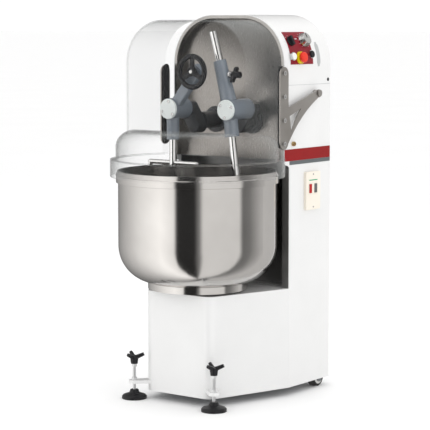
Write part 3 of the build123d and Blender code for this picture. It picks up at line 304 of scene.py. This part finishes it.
FINISHES = [
    (WHITE_PAINT, "base_casing base_top_plate side_panel_left side_panel_right rear_cover top_hood"),
    (ARMS_PAINT, "foot_arms"),
    (MACHINE_PAINT, "chassis_frame gearbox_housing motor bowl_motor motor_pulley "
                "bowl_motor_pulley driven_pulley wheel_brackets"),
    (DARK_CASTING, "left_crank right_crank bearings"),
    (SPUN_STEEL, "bowl turntable"),
    (SHEET_STEEL, "arm_panel"),
    (FRAME_STEEL, "hood_front_frame"),
    (LINER_STEEL, "niche_panel"),
    (BRACKET_STEEL, "guard_bracket_left guard_bracket_right hinge_pins"),
    (MACHINED, "bowl_shaft left_gear right_gear idler_gear"),
    (GREY_ENAMEL, "left_arm right_arm"),
    (CAP_GLOSS, "left_cap right_cap"),
    (CHROME, "left_tool right_tool"),
    (BLACK_GLOSS, "handwheel clamp_knob foot_knob_left foot_knob_right"),
    (BLACK_PLASTIC, "selector_knob stop_button cable_gland"),
    (RUBBER, "drive_belt bowl_belt"),
    (FOOT_BLACK, "foot_left foot_right"),
    (STRIPS, "guard_fasteners"),
    (wheel_material(), "rear_wheel_left rear_wheel_right"),
    (guard_material(), "guard_shell"),
    (LABEL, "side_label"),
    (CONTROL_RED, "control_plate"),
    (RINGS, "button_bezels"),
    (BUTTON_WHITE, "start_button"),
    (ESTOP_RED, "estop_button"),
    (SILVER, "timer_knob"),
    (CREAM, "breaker_box"),
    (KEY_RED, "breaker_off_key"),
    (KEY_GREY, "breaker_on_key"),
]
for finish, names in FINISHES:
    for name in names.split():
        for material_slot in NODES[name].material_slots:
            material_slot.material = finish


# ---- piece builders ------------------------------------------------------------------------------
def piece(name, mesh_maker, mat, body, bevel=0.0):
    """Make a mesh object from a bmesh function, with its material and body."""
    mesh = bpy.data.meshes.new(name)
    work = bmesh.new()
    mesh_maker(work)
    bmesh.ops.recalc_face_normals(work, faces=work.faces)
    work.to_mesh(mesh)
    work.free()
    obj = bpy.data.objects.new(name, mesh)
    bpy.context.scene.collection.objects.link(obj)
    mesh.materials.append(mat)
    for face in mesh.polygons:
        face.use_smooth = True
    if bevel:
        soft = obj.modifiers.new("soft_edges", "BEVEL")
        soft.width = bevel
        soft.segments = 3
        soft.limit_method = "ANGLE"
    sharp = obj.modifiers.new("split", "EDGE_SPLIT")
    sharp.split_angle = math.radians(40)
    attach(obj, body)
    return obj


def turned(work, place, rings, sides=32):
    """Closed turned form: rings are (radius, height) pairs along the place's Z axis."""
    loops = []
    for radius, height in rings:
        loop = []
        for step in range(sides):
            turn = math.tau * step / sides
            point = Vector((radius * math.cos(turn), radius * math.sin(turn), height))
            loop.append(work.verts.new(place @ point))
        loops.append(loop)
    for low, high in zip(loops, loops[1:]):
        for step in range(sides):
            after = (step + 1) % sides
            work.faces.new((low[step], low[after], high[after], high[step]))
    work.faces.new(loops[0])
    work.faces.new(loops[-1])


def block(work, place, size):
    """Closed box of a size, centred on the place."""
    made = bmesh.ops.create_cube(work, size=1.0)
    for vert in made["verts"]:
        vert.co = place @ Vector([vert.co[i] * size[i] for i in range(3)])


def facing(origin, normal, up=(0, 0, 1)):
    """Place whose Z axis is the normal and whose Y axis is near up."""
    z = Vector(normal).normalized()
    x = Vector(up).cross(z).normalized()
    y = z.cross(x)
    place = Matrix((x, y, z)).transposed().to_4x4()
    place.translation = Vector(origin)
    return place


def on_shoulder(y, angle, height=0.0):
    """Place on the hood's right shoulder at an angle above level."""
    out = Vector((math.cos(angle), 0, math.sin(angle)))
    origin = Vector((SHOULDER_X, y, SHOULDER_Z)) + out * (SHOULDER_R + height)
    return facing(origin, out, (-math.sin(angle), 0, math.cos(angle)))


def socket_screw(work, place, radius, height):
    """Cap screw: soft shoulder and a sunk round socket."""
    turned(work, place, [
        (radius, 0), (radius, height * 0.75), (radius * 0.88, height),
        (radius * 0.52, height), (radius * 0.46, height * 0.35),
    ], 18)


def pan_screw(work, place, radius):
    """Low domed screw with a dimple in its head."""
    turned(work, place, [
        (radius, 0), (radius * 0.95, radius * 0.25), (radius * 0.7, radius * 0.45),
        (radius * 0.3, radius * 0.5), (radius * 0.22, radius * 0.2),
    ], 20)


def centre_of(node):
    low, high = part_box(node)
    return (Vector(low) + Vector(high)) / 2


# ---- guard: sockets in the bolt heads --------------------------------------------------------------
BOLT_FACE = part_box("guard_fasteners")[1][0]
BOLT_Y = BOWL_Y + 0.157
BOLT_Z = (0.962, 1.049, 1.137, 1.224)


def bolt_sockets(work):
    """Shallow sunk socket with a thin rim on each bolt head, coloured black as painted shade in its hollow.
    """
    for sign in (-1, 1):
        for z in BOLT_Z:
            place = facing((sign * (BOLT_FACE - 0.0004), BOLT_Y, z), (sign, 0, 0))
            turned(work, place, [(0.0042, 0), (0.0042, 0.0008), (0.0034, 0.001), (0.003, 0.0003)], 18)


piece("bolt_sockets", bolt_sockets, BLACK_PLASTIC, "guard")

# ---- arms: cap screws, handwheel hub, clamp ferrule -------------------------------------------------
CAP_SCREW_RING = 0.029
for side, first in (("left", 80), ("right", 25)):
    cap_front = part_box(side + "_cap")[0][1]
    centre = centre_of(side + "_cap")

    def cap_screws(work):
        for turn in (first, first + 120, first + 240):
            angle = math.radians(turn)
            spot = Vector((math.cos(angle), 0, math.sin(angle))) * CAP_SCREW_RING
            origin = (centre.x + spot.x, cap_front + 0.0004, centre.z + spot.z)
            socket_screw(work, facing(origin, (0, -1, 0)), 0.0062, 0.003)

    piece(side + "_cap_screws", cap_screws, SILVER, side + "_arm_unit")

WHEEL = centre_of("handwheel")
WHEEL_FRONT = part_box("handwheel")[0][1]


def wheel_hub(work):
    place = facing((WHEEL.x, WHEEL_FRONT + 0.018, WHEEL.z), (0, -1, 0))
    turned(work, place, [(0.0155, 0), (0.0155, 0.010), (0.0135, 0.0125), (0.0085, 0.0125)], 32)
    turned(work, place, [(0.0085, 0.0126), (0.0085, 0.017), (0.0068, 0.019)], 6)


piece("handwheel_hub", wheel_hub, SILVER, "handwheel_unit")


def ferrule(work):
    low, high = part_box("clamp_knob")
    middle = (Vector(low) + Vector(high)) / 2
    place = facing((0.1035, middle.y, middle.z), (1, 0, 0))
    turned(work, place, [(0.0062, 0), (0.0125, 0.001), (0.0125, 0.008), (0.009, 0.013), (0.0062, 0.0144)])


piece("clamp_ferrule", ferrule, SILVER, "clamp_unit")

CRANK_PIN = centre_of("right_cap")


def painted_highlight_flat(work):
    """Bright steel flat on top of the right crank, a painted highlight standing in for light caught on its
    top face.
    """
    out = Vector((0.42, 0, 0.91)).normalized()
    middle = Vector((CRANK_PIN.x, BOWL_Y + 0.182, CRANK_PIN.z)) + out * 0.0255
    block(work, facing(middle, out, (0, 1, 0)), (0.03, 0.05, 0.003))


piece("right_crank_flat", painted_highlight_flat, MACHINED, "right_crank_unit", 0.0008)

# ---- controls: dial ticks, pointers, grips -----------------------------------------------------------
TIMER = (BOWL_Y + 0.343, math.radians(28))
SELECTOR = (BOWL_Y + 0.252, math.radians(27))


def dial_ticks(work):
    timer_turns = range(-140, 141, 28)
    dials = ((TIMER, 0.0305, timer_turns), (SELECTOR, 0.0245, (-45, 0, 45)))
    for (y, angle), ring, turns in dials:
        for turn in turns:
            around = math.radians(turn)
            rise = ring * math.cos(around)
            place = on_shoulder(y + ring * math.sin(around), angle + rise / SHOULDER_R, PLATE)
            block(work, place @ Matrix.Rotation(-around, 4, "Z"), (0.0011, 0.004, 0.0005))


piece("dial_ticks", dial_ticks, TICK_WHITE, "cabinet")


def timer_grip(work):
    place = on_shoulder(*TIMER, PLATE + 0.0026)
    for step in range(30):
        rib = Matrix.Rotation(math.tau * step / 30, 4, "Z") @ Matrix.Translation((0.0248, 0, 0.0098))
        block(work, place @ rib @ Matrix.Rotation(math.radians(-14), 4, "Y"), (0.0022, 0.0022, 0.0175))


def timer_pointer(work):
    place = on_shoulder(*TIMER, PLATE + 0.0022)
    block(work, place @ Matrix.Translation((0, 0.011, 0.0204)), (0.0022, 0.018, 0.0012))


piece("timer_grip", timer_grip, SILVER, "timer")
piece("timer_pointer", timer_pointer, BLACK_GLOSS, "timer")


def selector_pointer(work):
    place = on_shoulder(*SELECTOR, PLATE + 0.0016)
    block(work, place @ Matrix.Translation((0.009, 0, 0.0203)), (0.014, 0.0022, 0.001))


piece("selector_pointer", selector_pointer, TICK_WHITE, "selector")

# ---- hood: grey strip on the shoulder, plug, seam ----------------------------------------------------
STRIP_Y = BOWL_Y + 0.421


# Grey strip laid almost flush on the shoulder: painted shade in place of a recessed slot.
def shoulder_strip(work):
    steps = 18
    half = 0.011
    low, high = math.radians(-3), math.radians(26)
    rows = []
    for step in range(steps + 1):
        angle = low + (high - low) * step / steps
        from_end = min(step, steps - step)
        ends = math.sin(math.pi * from_end / steps * 3) if from_end < 3 else 1.0
        width = half * max(ends, 0.55)
        row = []
        for side_y, lift in ((-width, -0.001), (-width, 0.0006), (width, 0.0006), (width, -0.001)):
            place = on_shoulder(STRIP_Y + side_y, angle, lift)
            row.append(work.verts.new(place.translation))
        rows.append(row)
    for low_row, high_row in zip(rows, rows[1:]):
        for corner in range(4):
            after = (corner + 1) % 4
            work.faces.new((low_row[corner], low_row[after], high_row[after], high_row[corner]))
    work.faces.new(rows[0])
    work.faces.new(rows[-1])


piece("shoulder_strip", shoulder_strip, SEAM_AND_SHADE_GREY, "cabinet")


def plug(work):
    place = facing((SIDE_X - 0.001, BOWL_Y + 0.486, 1.193), (1, 0, 0))
    turned(work, place, [(0.0065, 0), (0.0065, 0.0022), (0.0045, 0.0034), (0.002, 0.0036)], 24)


piece("hood_plug", plug, BLACK_PLASTIC, "cabinet")


def seam(work):
    """Fine grey line where the hood meets each side panel."""
    for sign in (-1, 1):
        centre = (sign * SIDE_X, (HOOD_LOW[1] + HOOD_HIGH[1]) / 2, HOOD_LOW[2])
        block(work, Matrix.Translation(centre), (0.0006, HOOD_HIGH[1] - HOOD_LOW[1] - 0.002, 0.0014))


piece("hood_seam", seam, SEAM_AND_SHADE_GREY, "cabinet")

# ---- side: stop boss, breaker details, casing screws ---------------------------------------------------
BOSS_Y = BOWL_Y + 0.247
BOSS_Z = 0.957


def stop_bosses(work):
    for sign in (-1, 1):
        place = facing((sign * (SIDE_X - 0.001), BOSS_Y, BOSS_Z), (sign, 0, 0))
        turned(work, place, [
            (0.0088, 0), (0.0088, 0.009), (0.0076, 0.0112), (0.0042, 0.0112), (0.0036, 0.0072),
        ], 28)


piece("stop_bosses", stop_bosses, BRASS, "cabinet")
BREAKER_LOW, BREAKER_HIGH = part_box("breaker_box")
BREAKER_Y = (BREAKER_LOW[1] + BREAKER_HIGH[1]) / 2
BREAKER_FACE = BREAKER_HIGH[0]


def breaker_screws(work):
    for z in (BREAKER_LOW[2] + 0.010, BREAKER_HIGH[2] - 0.010):
        pan_screw(work, facing((BREAKER_FACE - 0.0006, BREAKER_Y, z), (1, 0, 0)), 0.0034)


def breaker_stripe(work):
    place = facing((BREAKER_FACE, BREAKER_Y, BREAKER_HIGH[2] - 0.032), (1, 0, 0))
    block(work, place, (0.056, 0.0036, 0.0008))


def breaker_window(work):
    """Raised frame round the two keys."""
    low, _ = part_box("breaker_off_key")
    _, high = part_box("breaker_on_key")
    middle = Vector((BREAKER_FACE, (low[1] + high[1]) / 2, (low[2] + high[2]) / 2))
    half_y = (high[1] - low[1]) / 2 + 0.0045
    half_z = (high[2] - low[2]) / 2 + 0.0045
    for sign in (-1, 1):
        block(work, Matrix.Translation(middle + Vector((0, sign * half_y, 0))),
              (0.003, 0.003, 2 * half_z + 0.003))
        block(work, Matrix.Translation(middle + Vector((0, 0, sign * half_z))),
              (0.0029, 2 * half_y - 0.003, 0.003))


piece("breaker_screws", breaker_screws, SILVER, "cabinet")
piece("breaker_stripe", breaker_stripe, GREEN, "cabinet")
piece("breaker_window", breaker_window, CREAM, "cabinet", 0.0006)


# ---- motors: cooling fins ------------------------------------------------------------------------------
MOTOR_LOW, MOTOR_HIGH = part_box("motor")


def motor_fins(work):
    centre = Vector(((MOTOR_LOW[0] + MOTOR_HIGH[0]) / 2, (MOTOR_LOW[1] + MOTOR_HIGH[1]) / 2,
                     MOTOR_HIGH[2] - 0.07))
    for step in range(22):
        turn = math.radians(-42 + 264 * step / 21)
        out = Vector((math.cos(turn), 0, math.sin(turn)))
        block(work, facing(centre + out * 0.0722, out, (0, 1, 0)), (0.0028, 0.096, 0.008))


piece("motor_fins", motor_fins, MACHINE_PAINT, "cabinet")

# ---- studio ----------------------------------------------------------------------------------------------
def studio_floor():
    mat, tree, shader = material("studio_floor", (0.97, 0.97, 0.97), 0.0, 0.9)
    vary_color(tree, shader, object_noise(tree, 0.8), (0.955, 0.955, 0.955), (0.97, 0.97, 0.97))
    mesh = bpy.data.meshes.new("studio_floor")
    half = 300.0
    corners = [(-half, -half, 0), (half, -half, 0), (half, half, 0), (-half, half, 0)]
    mesh.from_pydata(corners, [], [(0, 1, 2, 3)])
    obj = bpy.data.objects.new("studio_floor", mesh)
    mesh.materials.append(mat)
    bpy.context.scene.collection.objects.link(obj)
    obj.visible_glossy = False


studio_floor()


def softbox(name, location, target, size, power):
    """Large soft area light aimed at a point."""
    data = bpy.data.lights.new(name, "AREA")
    data.shape = "RECTANGLE"
    data.size, data.size_y = size
    data.energy = power
    lamp = bpy.data.objects.new(name, data)
    bpy.context.scene.collection.objects.link(lamp)
    lamp.location = location
    aim = Vector(target) - Vector(location)
    lamp.rotation_euler = aim.to_track_quat("-Z", "Y").to_euler()
    lamp.visible_glossy = False
    return lamp


softbox("key", (-3.4, -4.2, 3.4), (0, 0, 0.8), (2.4, 2.4), 18)
softbox("side", (5.0, -1.2, 2.6), (0, 0, 0.8), (2.0, 3.0), 26)
softbox("top", (0, 0.4, 4.4), (0, 0, 0), (3.0, 3.0), 30)


def room_light():
    """Even white room whose reflections come from upright light and dark cards round the machine.

    The ramp goes once round the room from the camera's back, turning towards its right."""
    world = bpy.data.worlds.new("studio")
    bpy.context.scene.world = world
    world.use_nodes = True
    tree = world.node_tree
    sky = tree.nodes["Background"]
    coords = tree.nodes.new("ShaderNodeTexCoord")
    turn = tree.nodes.new("ShaderNodeVectorRotate")
    turn.rotation_type = "Z_AXIS"
    turn.inputs["Angle"].default_value = -HEADING + math.pi / 2
    axes = tree.nodes.new("ShaderNodeSeparateXYZ")
    around = tree.nodes.new("ShaderNodeMath")
    around.operation = "ARCTAN2"
    share = tree.nodes.new("ShaderNodeMapRange")
    share.inputs["From Min"].default_value = -math.pi
    share.inputs["From Max"].default_value = math.pi
    cards = tree.nodes.new("ShaderNodeValToRGB")
    tree.links.new(coords.outputs["Generated"], turn.inputs["Vector"])
    tree.links.new(turn.outputs["Vector"], axes.inputs["Vector"])
    tree.links.new(axes.outputs["Y"], around.inputs[0])
    tree.links.new(axes.outputs["X"], around.inputs[1])
    tree.links.new(around.outputs["Value"], share.inputs["Value"])
    tree.links.new(share.outputs["Result"], cards.inputs["Fac"])
    stops = [(-180, 0.05), (-150, 0.4), (-110, 0.85), (-88, 1.15), (-55, 1.5), (-34, 1.2), (-30, 0.03),
             (-4, 0.03), (3, 0.3), (8, 0.95), (62, 0.92), (68, 0.2), (80, 0.25), (110, 0.7),
             (150, 0.62), (180, 0.05)]
    ramp = cards.color_ramp
    while len(ramp.elements) < len(stops):
        ramp.elements.new(0.5)
    for element, (angle, tone) in zip(ramp.elements, stops):
        element.position = (angle + 180) / 360
        element.color = (tone, tone * 0.985, tone * 0.965, 1)
    path = tree.nodes.new("ShaderNodeLightPath")
    choose = tree.nodes.new("ShaderNodeMix")
    choose.data_type = "RGBA"
    choose.inputs["A"].default_value = (1, 1, 1, 1)
    tree.links.new(path.outputs["Is Glossy Ray"], choose.inputs["Factor"])
    tree.links.new(cards.outputs["Color"], choose.inputs["B"])
    tree.links.new(choose.outputs["Result"], sky.inputs["Color"])
    sky.inputs["Strength"].default_value = 1.06


room_light()
bpy.context.scene.view_settings.view_transform = "Standard"

# ---- camera ------------------------------------------------------------------------------------------------
CAMERA_HEIGHT = 1.401
CAMERA_PLACE = (3.877, -5.094 + BOWL_Y, CAMERA_HEIGHT)
SENSOR = 36.0
FOCAL = 144.1
SHIFT = -0.08
HORIZON = 190 / 430            # how far above the middle of the picture the horizon lies, in widths
camera_data = bpy.data.cameras.new("camera")
camera_data.sensor_width = SENSOR
camera_data.lens = FOCAL
camera_data.shift_y = SHIFT
camera = bpy.data.objects.new("camera", camera_data)
bpy.context.scene.collection.objects.link(camera)
pitch = math.atan((HORIZON + SHIFT) * SENSOR / FOCAL)
camera.location = CAMERA_PLACE
camera.rotation_euler = (math.pi / 2 - pitch, 0, HEADING)
camera_data.clip_end = 1000
bpy.context.scene.camera = camera

bpy.context.view_layer.update()
